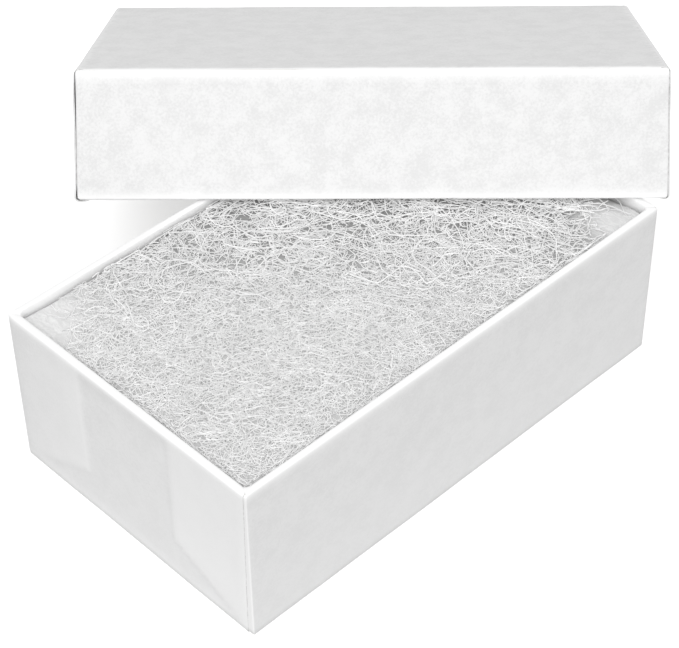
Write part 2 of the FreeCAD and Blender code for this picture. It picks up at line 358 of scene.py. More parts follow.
def batt_material(pad):
    """Carded polyester batt: packed white strands lying all ways, with painted shade between them.
    It is painted darker still, as shade deep between the fibres, where they lie loosest: some at the front,
    most towards the lid, none in the smooth corners."""
    material, tree, place = new_material("polyester_batt_carded")
    warp = add_node(tree, "ShaderNodeTexNoise", {"Vector": place, "Scale": 1 / (1.4 * MM), "Detail": 2.0})
    bend = add_node(tree, "ShaderNodeVectorMath", {0: warp.outputs["Color"], "Scale": 1.5 * MM},
                    operation="SCALE")
    bent = add_node(tree, "ShaderNodeVectorMath", (place, bend), operation="ADD")
    top = None
    for turn in (0.35, 1.45, 2.5):
        laid = add_node(tree, "ShaderNodeMapping", {
            "Vector": bent, "Rotation": (0, 0, turn), "Scale": (1.0, 0.16, 1.0),
        })
        strands = add_node(tree, "ShaderNodeTexNoise", {
            "Vector": laid, "Scale": 0.5 / pad.strand, "Detail": 2.0,
        })
        top = add_node(tree, "ShaderNodeMath", (top, strands), operation="MAXIMUM") if top else strands
    tint = add_node(tree, "ShaderNodeValToRGB", (top,))
    # Painted shade: grey between the strands, and darker grey where the attribute 'loose' is high.
    set_stops(tint, (0.50, pad.gap), (0.72, pad.colour))
    loose = add_node(tree, "ShaderNodeAttribute", attribute_name="loose").outputs["Fac"]
    depth = add_node(tree, "ShaderNodeMixRGB", (loose, tint, rgba(pad.depth_shade)))
    bump = add_node(tree, "ShaderNodeBump", {"Height": top, "Strength": 0.5, "Distance": 0.12 * MM})
    return finish_material(material, add_node(tree, "ShaderNodeBsdfPrincipled", {
        "Base Color": depth, "Roughness": 0.7, "Normal": bump, "IOR": 1.54,
        "Sheen Weight": 0.2, "Sheen Roughness": 0.4,
    }))


def fibre_material(fibre):
    """Crimped polyester staple fibre, melt-spun: smooth, white and a little translucent; its glow is painted
    light, standing for the light clear fibres pass on to each other.
    """
    material, tree, _ = new_material("polyester_fibre_crimped")
    own = add_node(tree, "ShaderNodeAttribute", attribute_name="fibre_shade").outputs["Fac"]
    tint = add_node(tree, "ShaderNodeValToRGB", (own,))
    set_stops(tint, (0, fibre.shade), (1, fibre.colour))
    # Painted light: the emission makes the fibres glow in place of the light passed on between them.
    return finish_material(material, add_node(tree, "ShaderNodeBsdfPrincipled", {
        "Base Color": tint, "Roughness": 0.45, "IOR": 1.54, "Specular IOR Level": 0.4,
        "Emission Color": (1, 1, 1, 1), "Emission Strength": fibre.glow,
    }))


# ---------------------------------------------------------------- meshes

def new_piece(name, mesh, materials):
    """An object at the origin, holding the mesh and its materials."""
    piece = bpy.data.objects.new(name, mesh)
    bpy.context.scene.collection.objects.link(piece)
    mesh.materials.clear()
    for material in materials:
        mesh.materials.append(material)
    return piece


def apply_modifiers(piece):
    """Replaces the piece's mesh with what its modifiers make of it."""
    graph = bpy.context.evaluated_depsgraph_get()
    made = bpy.data.meshes.new_from_object(piece.evaluated_get(graph))
    piece.modifiers.clear()
    piece.data = made
    return made


def ease(value, start=0.0, end=1.0):
    """Smooth step that rises from 0 at the start to 1 at the end."""
    part = min(1.0, max(0.0, (value - start) / (end - start)))
    return part * part * (3 - 2 * part)


def right_angle(steps):
    """Sines and cosines of even steps through a right angle."""
    return [(math.sin(a), math.cos(a)) for a in (math.pi / 2 * i / steps for i in range(steps + 1))]


def lid_matrix():
    """Lid's own frame, open side up: origin at the middle of its top panel, front wall at +Y."""
    mount = next(m for m in frame["record"]["mounts"] if m["name"] == "lid_top")
    up = Vector(mount["axis"]).normalized()
    back = Vector((up.x, up.y, 0)).normalized()
    along = back.cross(Vector((0, 0, 1)))
    inward = -up
    turn = Matrix((along, inward.cross(along), inward)).transposed().to_4x4()
    return Matrix.Translation(Vector(mount["pos_m"])) @ turn


# Steps round a fold, over a rim, round an upright corner and along a loose lip.
FOLD_STEPS, RIM_STEPS, CORNER_STEPS, LIP_STEPS = 4, 6, 5, 5
# Columns close to a flap's cut edge, where it bends most, as portions of the way from its middle.
NEAR_EDGE = (1.0, 0.998, 0.994, 0.985, 0.97)
LINING_SHARE = 0.75          # radius of a rim's inner side, as a share of its outer side's
WAVE_SPAN = 9 * MM           # length of the paper's slow waves
LIFT_SPAN = 3.5 * MM         # how far along a flap its lifted edge fades out
PRESS_SPAN = 0.35 * MM       # how far along a flap its pressed-down edge fades out
RIM_WOBBLE, WOBBLE_SPAN = 0.06 * MM, 5 * MM
FOOT_REACH, FOOT_RISE = 0.5 * MM, 0.04 * MM     # where a flap's first row lies on the panel
MERGE_GAP = 0.002 * MM
# How white the tray's paper is made low on a wall (painted light thrown up from the floor), over the front
# tab and, as more painted floor light, low on it, over the back tab, and towards the front over bare board:
# shares matched.
LOW_FLOOR_LIGHT, FRONT_TAB_WHITE, LOW_TAB_FLOOR_LIGHT, BACK_TAB_WHITE, BOARD_WHITE = 0.42, 0.5, 0.3, 0.45, 0.4
SHARP_ANGLE = 50             # degrees past which an edge of the sheet stays sharp
MITRE = 0.98                 # how far a turn-in's corner is cut back for its depth
GAUGE_SHARE = 0.95           # thickness given to the sheet, short of its gauge so that layers stay apart


class CutEdge:
    """How a flap's cut edge lies at one upright corner, in millimetres and degrees."""

    def __init__(self, rim_reach=0.0, panel_reach=0.0, lift=0.0, bend=0.0, radius=0.0, press=0.0,
                 loose=False):
        self.rim_reach = rim_reach * MM
        self.panel_reach = panel_reach * MM
        self.lift = lift * MM
        self.bend = math.radians(bend)
        self.radius = radius * MM
        self.press = press * MM
        self.loose = loose

    def reach_at(self, portion):
        """How far the edge reaches past the start of the corner's fold, from panel to rim."""
        return self.panel_reach + (self.rim_reach - self.panel_reach) * portion


class HalfWrap:
    """The wrap paper of the tray or the lid, built open side up and then put in its place."""

    def __init__(self, name, matrix, panel_radius, turn_in, corners, panel_wave, seed):
        self.name = name
        self.matrix = matrix
        self.paper = settings().paper
        self.panel_radius = panel_radius
        self.turn_in = turn_in
        self.corners = corners
        self.panel_wave = panel_wave
        self.flare = self.paper.lid_flare if name == "lid" else 0.0
        self.shift = Vector((seed * 3.1, seed * 7.7, seed * 1.9))
        inverse = matrix.inverted()
        points = [inverse @ v.co for v in frame["nodes"][f"{name}_wrap"].data.vertices]
        self.half_x, self.half_y, self.height = (max(abs(p[i]) for p in points) for i in range(3))
        self.bm = bmesh.new()
        # Share of painted white at each point: a painted highlight on folds and rims, painted light from the
        # floor low on the tray's walls, and whiter paper over a tab.
        self.burnish = self.bm.verts.layers.float.new("burnish")
        # The tray's paper is thin enough for what lies under it to show through, and low on its walls it is
        # given painted light thrown up from the floor.
        self.shows_backing_and_floor_light = name == "tray"

    def profile(self, height, stack, rim_radius):
        """(kind, inset, height, normal outwards, normal upwards) from the panel's fold to the turn-in."""
        fold, rim, lining = self.panel_radius, rim_radius, LINING_SHARE * rim_radius
        rows = [("fold", fold * (1 - s), fold * (1 - c), s, -c) for s, c in right_angle(FOLD_STEPS)]
        steps = round((self.height - fold - rim) / self.paper.step)
        rows += [("wall", 0, fold + (height - fold - rim) * i / steps, 1, 0) for i in range(1, steps)]
        rows += [("rim", rim * (1 - c), height - rim * (1 - s), c, s) for s, c in right_angle(RIM_STEPS)]
        rows.append(("rim", (stack + rim - lining) / 2, height, 0, 1))
        rows += [("rim", stack - lining * (1 - s), height - lining * (1 - c), -s, c)
                 for s, c in right_angle(FOLD_STEPS)]
        steps = round(self.turn_in / (2 * self.paper.step))
        rows += [("lining", stack, height - lining - (self.turn_in - lining) * i / steps, -1, 0)
                 for i in range(1, steps + 1)]
        return rows

    def sway(self, point, kind):
        """How far the paper stands out at a point, from its slow waves."""
        if kind == "panel" and not self.panel_wave:
            return 0.0
        place = point / WAVE_SPAN + self.shift
        waves = noise.noise(place) + 0.35 * noise.noise(place * 3.3)
        off_corner = max(self.half_x - abs(point.x), self.half_y - abs(point.y))
        return self.paper.wave * waves * ease(off_corner, 0.4 * MM, 2.9 * MM)

    def tab(self, y, z):
        """1 where a long wall's tab lies under the paper of a short end, 0 where none does."""
        paper = self.paper
        from_corner = self.half_y - abs(y)
        slant = paper.tab_cut * from_corner / paper.tab_reach
        slope = (-paper.tab_ramp / 2, paper.tab_ramp / 2)
        return ease(paper.tab_reach - from_corner, *slope) * ease(z - slant, *slope)

    def lean(self, inset, z):
        """How far a short end's outer face leans out, at an inset from it and a height."""
        return self.flare * ease(z / self.height) * max(0.0, 1 - inset / self.paper.long_stack)

    def sunk(self, y, z):
        """How far a short end's paper sinks between its tabs."""
        fade = ease(self.height - z, 0.5 * MM, 1.9 * MM) * ease(z, 0.3 * MM, 1.5 * MM)
        return self.paper.gauge * (1 - self.tab(y, z)) * fade

    def highlighted(self, kind, z):
        """How far a fold's or rim's paper is painted white as a highlight, from 0 to 1; the panel itself is
        painted 0.3 of the way to that white all over.
        """
        if kind in ("rim", "lining"):
            return 1 - ease(self.height - z, 0.6 * MM, 1.4 * MM)
        near_rim = 1 - ease(self.height - z, 0.3 * MM, 1.2 * MM)
        near_panel = 0.8 * (1 - ease(z, 0.4 * MM, 1.7 * MM)) if self.panel_wave else 0.0
        return max(near_rim, near_panel if kind != "panel" else 0.3)

    def backing_and_floor_light(self, kind, p):
        """How far the tray's thin paper is made white, from 0 to 1: over a doubled tab, towards the front
        over grey board, and low on a wall as painted light thrown up from the floor.
        """
        if not self.shows_backing_and_floor_light or kind != "wall":
            return 0.0
        low = max(0.0, 1 - p.z / self.height)
        # Painted light from the floor, strongest at the foot of a wall.
        white = LOW_FLOOR_LIGHT * low ** 1.3
        if abs(p.x) > self.half_x - 2 * self.paper.gauge:
            tab = self.tab(p.y, p.z)
            front = 0.5 - 0.5 * p.y / self.half_y
            from_corner = (self.half_y - abs(p.y)) / self.paper.tab_reach
            over_tab = FRONT_TAB_WHITE + LOW_TAB_FLOOR_LIGHT * low if p.y < 0 else BACK_TAB_WHITE * from_corner
            white += tab * over_tab + (1 - tab) * BOARD_WHITE * max(0.0, front - 0.3)
        return min(1.0, white)

    def add_grid(self, points, closed):
        """Adds rows of points as a sheet of quads. Each row is (kind, points)."""
        rows = []
        for kind, row in points:
            made = [self.bm.verts.new(self.matrix @ p) for p in row]
            for vert, p in zip(made, row):
                # The larger of the painted fold highlight and the tray's backing with its painted floor
                # light.
                vert[self.burnish] = max(self.highlighted(kind, p.z), self.backing_and_floor_light(kind, p))
            rows.append(made)
        for low, high in zip(rows, rows[1:]):
            spans = len(low) if closed else len(low) - 1
            for j in range(spans):
                k = (j + 1) % len(low)
                self.bm.faces.new((low[j], low[k], high[k], high[j]))

    def corner_radius(self, kind, d):
        """Radius of an upright corner at an inset from the outer face."""
        paper = self.paper
        if kind == "fold":
            return paper.fold_radius * (1 - d / self.panel_radius)
        if d <= paper.rim_radius:
            return paper.fold_radius * (1 - 0.6 * d / paper.rim_radius)
        part = (d - paper.rim_radius) / (paper.long_stack - paper.rim_radius)
        return paper.fold_radius * 0.4 + paper.inner_radius * part

    def outline(self, xs, ys):
        """(side in X, side in Y, normal's X, normal's Y) round the sheet, from -1 to 1 along a wall."""
        columns = []
        for quarter, (line, across) in enumerate(((xs, -1), (ys, 1), (xs, 1), (ys, -1))):
            run = line if quarter < 2 else [-v for v in line]
            if quarter % 2 == 0:
                columns += [(v, across, 0, across) for v in run]
            else:
                columns += [(across, v, across, 0) for v in run]
            sx, sy = ((1, -1), (1, 1), (-1, 1), (-1, -1))[quarter]
            for i in range(CORNER_STEPS + 1):
                a = math.pi / 2 * (quarter - 1 + i / CORNER_STEPS)
                columns.append((sx, sy, math.cos(a), math.sin(a)))
        return columns

    def add_shell(self):
        """The sheet's panel, long walls and tabs, with the rim and the lining all round."""
        paper = self.paper
        gauge = paper.gauge
        outer_x, outer_y = self.half_x - gauge, self.half_y
        long_rows = self.profile(self.height, paper.long_stack, paper.rim_radius)
        end_rows = self.profile(self.height - gauge, paper.end_stack - 2 * gauge, paper.rim_radius)
        nx, ny = round(2 * outer_x / paper.step), round(2 * outer_y / paper.step)
        xs = [-1 + 2 * i / nx for i in range(1, nx)]
        ys = [-1 + 2 * i / ny for i in range(1, ny)]
        columns = self.outline(xs, ys)
        grid = []
        for (kind, d, z, out, up), (_, end_d, end_z, _, _) in zip(long_rows, end_rows):
            radius = self.corner_radius(kind, d)
            part = "panel" if kind == "fold" and d == self.panel_radius else kind
            row = []
            for sx, sy, cx, cy in columns:
                end = cx * cx
                x = sx * (outer_x + self.lean(end_d, end_z) - end_d - radius) + radius * cx
                y = sy * (outer_y - d - radius) + radius * cy
                point = Vector((x, y, z + (end_z - z) * end))
                if kind == "wall" and end == 1:
                    point.x -= cx * self.sunk(y, z)
                row.append(point + Vector((cx * out, cy * out, up)) * self.sway(point, part))
            grid.append((kind, row))
        self.add_grid(grid, True)
        edge = self.panel_radius
        panel = []
        for sy in [1, *[-v for v in ys], -1]:
            row = []
            for sx in [-1, *xs, 1]:
                point = Vector((sx * (outer_x - edge), sy * (outer_y - edge), 0))
                row.append(point - Vector((0, 0, self.sway(point, "panel"))))
            panel.append(("panel", row))
        self.add_grid(panel, False)

    def add_end(self, side):
        """The sheet's flap over one short end, over the tabs, the rim and down inside."""
        levels = self.profile(self.height, self.paper.end_stack,
                              self.paper.rim_radius + 0.3 * self.paper.gauge)
        levels = [("panel", self.panel_radius + FOOT_REACH, FOOT_RISE, 0, -1), *levels]
        straight = round(2 * self.half_y / self.paper.step)
        portions = (*NEAR_EDGE, *[1 - 2 * i / straight for i in range(2, straight // 2)])
        grid = []
        for level in levels:
            row = []
            for end in (-1, 1):
                points = [self.bent_point(side, end, level, 1 - i / LIP_STEPS) for i in range(LIP_STEPS)]
                points += [self.flap_point(side, end, level, portion) for portion in portions]
                row += points if end < 0 else [self.flap_point(side, 1, level, 0.0), *points[::-1]]
            grid.append((level[0], row if side > 0 else row[::-1]))
        self.add_grid(grid, False)

    def flap_limit(self, edge, kind, d, z):
        """How far from the middle of a short end its flap's cut edge lies."""
        limit = self.half_y - self.paper.fold_radius + edge.reach_at(z / self.height)
        if kind in ("rim", "lining"):
            limit -= MITRE * max(0.0, d - self.paper.rim_radius)
        return limit

    def flap_point(self, side, end, level, portion):
        """A point of a short end's flap, at a portion of the way from its middle to its cut edge."""
        kind, d, z, out, up = level
        edge = self.corners[(side, end)]
        limit = self.flap_limit(edge, kind, d, z)
        y = portion * limit
        point = Vector((side * (self.half_x + self.lean(d, z) - d), end * y, z))
        if kind == "wall":
            point.x -= side * self.sunk(end * y, z)
        amount = 0.0
        if kind != "panel" and not (kind == "fold" and d == self.panel_radius):
            amount = 0.8 * self.sway(Vector((side * self.half_x, end * y, z)), kind)
            amount += edge.lift * self.lift_at(z) * math.exp(-((limit - y) / LIFT_SPAN) ** 2)
            amount -= edge.press * ease(z, 0, MM) * math.exp(-((limit - y) / PRESS_SPAN) ** 2)
        if kind == "rim":
            wobble = noise.noise(Vector((end * y / WOBBLE_SPAN, side * 5.0, 2.0)) + self.shift)
            amount += RIM_WOBBLE * wobble * up
        return point + Vector((side * out, 0, up)) * amount

    def bent_point(self, side, end, level, t):
        """A point of the lip by which a flap bends round the upright corner."""
        kind, d, z, out, up = level
        edge = self.corners[(side, end)]
        start = self.flap_point(side, end, level, 1.0)
        full = 1.0
        if kind in ("panel", "fold", "wall"):
            full = ease(z, 0, 0.8 * MM)
        elif kind == "lining" or not edge.loose:
            full = 1 - ease(d, 0, self.paper.rim_radius)
        radius = edge.radius * full
        turn = edge.bend * t
        inward = Vector((-side * out, 0, -up)) * radius * (1 - math.cos(turn))
        return start + inward + Vector((0, end * radius * math.sin(turn), 0))

    def lift_at(self, z):
        """Share of a loose edge's lift at a height: most a little way from the panel, and at the rim."""
        t = z / self.height
        bulge = 0.3 * math.exp(-((t - 0.2) / 0.12) ** 2)
        return ease(t, 0, 0.06) * (0.8 + bulge - 0.25 * ease(t, 0.3, 0.7) + 0.9 * ease(t, 0.85, 1))

    def build(self, materials):
        """Makes the piece: a closed sheet with real thickness."""
        self.add_shell()
        for side in (-1, 1):
            self.add_end(side)
        bmesh.ops.remove_doubles(self.bm, verts=self.bm.verts, dist=MERGE_GAP)
        bmesh.ops.dissolve_degenerate(self.bm, dist=MERGE_GAP / 2, edges=self.bm.edges)
        mesh = bpy.data.meshes.new(f"{self.name}_wrap_paper")
        self.bm.to_mesh(mesh)
        self.bm.free()
        piece = new_piece(f"{self.name}_wrap_paper", mesh, materials)
        solid = piece.modifiers.new("gauge", "SOLIDIFY")
        solid.thickness = self.paper.gauge * GAUGE_SHARE
        solid.offset = -1
        solid.material_offset_rim = 1
        made = apply_modifiers(piece)
        made.shade_smooth()
        made.set_sharp_from_angle(angle=math.radians(SHARP_ANGLE))
        return piece


# ---------------------------------------------------------------- pad and fibres

CLOTH_SCALE = 20.0           # the pad is swollen at a cushion's size, at which cloth behaves better
CLOTH_FRAMES = 20
CLOTH_SHRINK = 0.965         # size before swelling, as a share of the fill's solid
MOST_SWELL = 1.6 * MM
FACES_UP = 0.25              # least upward slant of the faces that carry fibres
SHADE_AND_THINNING_RISE = (-0.3, 0.3)     # where, towards the lid, the pad's painted shade deepens and short fibres thin out
FRONT_DEPTH_SHADE = 0.34           # share of the pad's painted shade before that
LONG_RISE = (-0.35, 0.45)    # where, towards the lid, long fibres set in
EVEN_MEAN, RAISED_MEAN = 0.76, 0.42   # means of the fibres' shares over the pad's top
LID_WAY = (0.62, 0.38)       # weights of X and Y in the way towards the lid
# How much too wide the pad is before the walls cut it off: in X and Y, in Y above the floor, and in
# X and Y at its corners.
WIDE_X, WIDE_Y, WIDE_UPPER_Y, WIDE_CORNER_X, WIDE_CORNER_Y = 0.08, 0.06, 0.08, 0.10, 0.15
LUMP_SPAN, SMALL_LUMP_SPAN = 3.2 * MM, 1.3 * MM
TUFT_SPAN, PATCH_SPAN = 4.5 * MM, 3.0 * MM


def pad_cavity():
    """Lowest and highest corners of the space the pad's body may fill."""
    pad = settings().pad
    low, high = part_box("fill_pad")
    return low + Vector((0.2 * pad.clearance,) * 3), Vector((high.x, high.y, pad.crown))


def corner_drop(p, high):
    """How far the pad sinks near its corners."""
    pad = settings().pad
    drop = 0.0
    for sx in (-1, 1):
        for sy in (-1, 1):
            depth = pad.near_drop if sx == sy else pad.right_drop if sx > 0 else pad.left_drop
            gap = math.hypot(p.x - sx * high.x, p.y - sy * high.y)
            drop += depth * math.exp(-(gap / pad.drop_reach) ** 2)
    return drop


def fibre_cover(p, high):
    """How far loose fibres cover the pad, from 0 in its two smooth corners to 1."""
    fibre = settings().fibre
    from_left = math.hypot(p.x + high.x, p.y - high.y) / fibre.left_bare
    from_right = math.hypot(p.x - high.x, p.y + high.y) / fibre.right_bare
    return ease(min(from_left, from_right), 0.5, 1.125)


def towards_lid(p, high):
    """How near a point of the pad is to its hidden corner, from -1 to 1."""
    return LID_WAY[0] * p.x / high.x + LID_WAY[1] * p.y / high.y


def pad_blank(material, middle):
    """The fill's solid as an even mesh of voxels, round its middle and at cloth scale."""
    mesh = frame["nodes"]["fill_pad"].data.copy()
    mesh.materials.clear()
    for v in mesh.vertices:
        v.co = (v.co - middle) * CLOTH_SCALE * CLOTH_SHRINK
    piece = new_piece("pad_body", mesh, [material])
    remesh = piece.modifiers.new("voxels", "REMESH")
    remesh.mode = "VOXEL"
    remesh.voxel_size = settings().pad.voxel * CLOTH_SCALE
    apply_modifiers(piece)
    return piece


def inflate(piece):
    """Swells a closed mesh like a pillow with a short cloth simulation, up to a limit."""
    rest = [v.co.copy() for v in piece.data.vertices]
    cloth = piece.modifiers.new("swell", "CLOTH")
    cloth.settings.quality = 5
    cloth.settings.use_pressure = True
    cloth.settings.uniform_pressure_force = 4.0
    cloth.settings.effector_weights.gravity = 0.0
    cloth.settings.tension_stiffness = 12.0
    cloth.settings.bending_stiffness = 0.4
    cloth.collision_settings.use_collision = False
    cloth.point_cache.frame_start, cloth.point_cache.frame_end = 1, CLOTH_FRAMES
    for step in range(1, CLOTH_FRAMES + 1):
        bpy.context.scene.frame_set(step)
    mesh = apply_modifiers(piece)
    bpy.context.scene.frame_set(1)
    most = MOST_SWELL * CLOTH_SCALE
    for v, start in zip(mesh.vertices, rest):
        move = v.co - start
        if move.length > most:
            v.co = start + move.normalized() * most


def pressed(p, low, high):
    """Where a point of the swollen pad ends up once the pad is pressed into the tray."""
    pad = settings().pad
    fall = high.z - p.z
    if fall < pad.shoulder:
        p.z = high.z - pad.shoulder * (fall / pad.shoulder) ** pad.fullness
    along, across = abs(p.x) / high.x, abs(p.y) / high.y
    firm = ease(p.z - low.z, 0.5 * MM, 5.5 * MM)
    p.x *= 1 + WIDE_X + firm * WIDE_CORNER_X * ease(across, 0.6, 1)
    p.y *= 1 + WIDE_Y + firm * (WIDE_UPPER_Y + WIDE_CORNER_Y * ease(along, 0.75, 1))
    upper = ease(p.z - high.z, -6 * MM, -2 * MM)
    p.z -= corner_drop(p, high) * upper
    lump = noise.noise(p / LUMP_SPAN) + 0.5 * noise.noise(p / SMALL_LUMP_SPAN)
    p.z += pad.lump * (lump - 0.5) * upper
    p.x = min(high.x - pad.clearance, max(low.x + pad.clearance, p.x))
    p.y = min(high.y - pad.clearance, max(low.y + pad.clearance, p.y))
    corner = ease(along, 0.7, 0.95) * ease(across, 0.5, 0.9)
    p.z = min(high.z, max(low.z + pad.lower_round * corner, p.z))
    return p


def pad_body(material):
    """Pad's body: the fill's solid, remeshed, swollen as cloth, and pressed into the tray."""
    low, high = pad_cavity()
    middle = (low + high) / 2
    piece = pad_blank(material, middle)
    inflate(piece)
    smooth = piece.modifiers.new("smooth", "SUBSURF")
    smooth.levels = smooth.render_levels = 1
    mesh = apply_modifiers(piece)
    top = max(v.co.z for v in mesh.vertices) / CLOTH_SCALE + middle.z
    stretch = (high.z - low.z) / (top - low.z)
    loose = mesh.attributes.new("loose", "FLOAT", "POINT")
    for v in mesh.vertices:
        p = v.co / CLOTH_SCALE + middle
        p.z = low.z + (p.z - low.z) * stretch
        v.co = pressed(p, low, high)
        # The attribute 'loose' is the share of painted shade deep between the fibres: none in the smooth
        # corners, some at the front, most towards the lid.
        back = ease(towards_lid(v.co, high), *SHADE_AND_THINNING_RISE)
        loose.data[v.index].value = fibre_cover(v.co, high) * (FRONT_DEPTH_SHADE + (1 - FRONT_DEPTH_SHADE) * back)
    mesh.shade_smooth()
    mesh.update()
    return piece


def emitter_mesh(body):
    """Upper surface of the pad's body, with the share of short and long fibres at each point."""
    bm = bmesh.new()
    bm.from_mesh(body.data)
    bmesh.ops.delete(bm, geom=[f for f in bm.faces if f.normal.z < FACES_UP], context="FACES")
    bmesh.ops.triangulate(bm, faces=bm.faces)
    mesh = bpy.data.meshes.new("emitter")
    bm.to_mesh(mesh)
    bm.free()
    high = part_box("fill_pad")[1]
    thinning = settings().fibre.thinning
    raised = mesh.attributes.new("raised", "FLOAT", "POINT")
    even = mesh.attributes.new("even", "FLOAT", "POINT")
    for v in mesh.vertices:
        cover = fibre_cover(v.co, high)
        back = towards_lid(v.co, high)
        tufts = max(0.1, 0.75 + 0.6 * noise.noise(v.co / TUFT_SPAN))
        patches = 0.8 + 0.35 * noise.noise(v.co / PATCH_SPAN + Vector((9, 9, 9)))
        raised.data[v.index].value = cover * ease(back, *LONG_RISE) * tufts
        even.data[v.index].value = cover * (1 - thinning * ease(back, *SHADE_AND_THINNING_RISE)) * patches
    return mesh


# Inputs of the fibre tree: name, kind of socket and default.
FIBRE_INPUTS = (
    ("Surface", "NodeSocketGeometry", None), ("Density", "NodeSocketFloat", 1.0),
    ("Density Attribute", "NodeSocketString", ""), ("Seed", "NodeSocketInt", 1),
    ("Points", "NodeSocketInt", 13), ("Length", "NodeSocketFloat", 0.004),
    ("Curl", "NodeSocketFloat", 0.002), ("Turns", "NodeSocketFloat", 2.0),
    ("Heading", "NodeSocketFloat", 0.0), ("Spread", "NodeSocketFloat", 3.2),
    ("Radius", "NodeSocketFloat", 0.00005), ("Lift", "NodeSocketFloat", 0.0005),
    ("Low", "NodeSocketVector", (0, 0, 0)), ("High", "NodeSocketVector", (0, 0, 0)),
    ("Rim Drop", "NodeSocketFloat", 0.001), ("Margin", "NodeSocketFloat", 0.001),
    ("Material", "NodeSocketMaterial", None),
)
# How finely a fibre waves, its reach along X, Y and Z, and that reach's unit: None is the Curl input.
LOOPS = (1.0, (2.0, 2.0, 0.34), None)
CRIMPS = (3.1, (0.55, 0.55, 0.3), MM)
MOST_TIP = (0.3, 0.22)       # how far a fibre may tip about X and Y, in radians
FIBRE_SIZES = (0.55, 1.35)
RIM_STEEPNESS = 9.0          # how suddenly the ceiling falls near the walls
SHORT_POINTS, LONG_POINTS = 13, 21
LONG_LIFT, LONG_LIFT_STEP = 0.6, 0.3     # how high the long layers lie, as shares of the lift
LONG_SEED = 50               # keeps the long layers' draws apart from the short layers'


def laid_strands(tree, given):
    """Straight strands scattered over the surface, each with a number and a shade of its own."""
    weight = add_node(tree, "GeometryNodeInputNamedAttribute", {"Name": given["Density Attribute"]},
                      data_type="FLOAT")
    density = add_node(tree, "ShaderNodeMath", (weight, given["Density"]), operation="MULTIPLY")
    points = add_node(tree, "GeometryNodeDistributePointsOnFaces", {
        "Mesh": given["Surface"], "Density": density, "Seed": given["Seed"],
    }, distribute_method="RANDOM")
    own_seed = add_node(tree, "ShaderNodeMath", (given["Seed"], 17.0), operation="ADD")
    for name, highest, seed in (("fibre_id", 500.0, own_seed), ("fibre_shade", 1.0, given["Seed"])):
        draw = add_node(tree, "FunctionNodeRandomValue", {2: 0.0, 3: highest, "Seed": seed},
                        data_type="FLOAT")
        points = add_node(tree, "GeometryNodeStoreNamedAttribute", {
            "Geometry": points, "Name": name, "Value": draw.outputs[1],
        }, data_type="FLOAT", domain="POINT")
    ends = []
    turns = []
    for sign, operation in ((-1, "SUBTRACT"), (1, "ADD")):
        end = add_node(tree, "ShaderNodeMath", (given["Length"], sign / 2), operation="MULTIPLY")
        ends.append(add_node(tree, "ShaderNodeCombineXYZ", (end,)))
        turn = add_node(tree, "ShaderNodeMath", (given["Heading"], given["Spread"]), operation=operation)
        turns.append(add_node(tree, "ShaderNodeCombineXYZ", (*(sign * tip for tip in MOST_TIP), turn)))
    line = add_node(tree, "GeometryNodeCurvePrimitiveLine", {"Start": ends[0], "End": ends[1]})
    strand = add_node(tree, "GeometryNodeResampleCurve", {"Curve": line, "Count": given["Points"]})
    turn = add_node(tree, "FunctionNodeRandomValue", {0: turns[0], 1: turns[1], "Seed": given["Seed"]},
                    data_type="FLOAT_VECTOR")
    turned = add_node(tree, "FunctionNodeEulerToRotation", (turn,))
    size = add_node(tree, "FunctionNodeRandomValue", {
        2: FIBRE_SIZES[0], 3: FIBRE_SIZES[1], "Seed": own_seed,
    }, data_type="FLOAT")
    placed = add_node(tree, "GeometryNodeInstanceOnPoints", {
        "Points": points, "Instance": strand, "Rotation": turned, "Scale": size.outputs[1],
    })
    return add_node(tree, "GeometryNodeRealizeInstances", (placed,))


def curled_strands(tree, given, mark, strands):
    """Bends each strand into loops and crimps of its own."""
    along = add_node(tree, "GeometryNodeSplineParameter").outputs["Factor"]
    run = add_node(tree, "ShaderNodeMath", (along, given["Turns"]), operation="MULTIPLY")
    seat = add_node(tree, "ShaderNodeCombineXYZ", (run, mark))
    waves = []
    for fineness, shares, size in (LOOPS, CRIMPS):
        field = add_node(tree, "ShaderNodeTexNoise", {"Vector": seat, "Scale": fineness, "Detail": 0.0})
        centred = add_node(tree, "ShaderNodeVectorMath", (field.outputs["Color"], (0.5, 0.5, 0.5)),
                           operation="SUBTRACT")
        shaped = add_node(tree, "ShaderNodeVectorMath", (centred, shares), operation="MULTIPLY")
        waves.append(add_node(tree, "ShaderNodeVectorMath", {0: shaped, "Scale": size or given["Curl"]},
                              operation="SCALE"))
    up = add_node(tree, "ShaderNodeCombineXYZ", {2: given["Lift"]})
    offset = add_node(tree, "ShaderNodeVectorMath", waves, operation="ADD")
    offset = add_node(tree, "ShaderNodeVectorMath", (offset, up), operation="ADD")
    return add_node(tree, "GeometryNodeSetPosition", {"Geometry": strands, "Offset": offset})


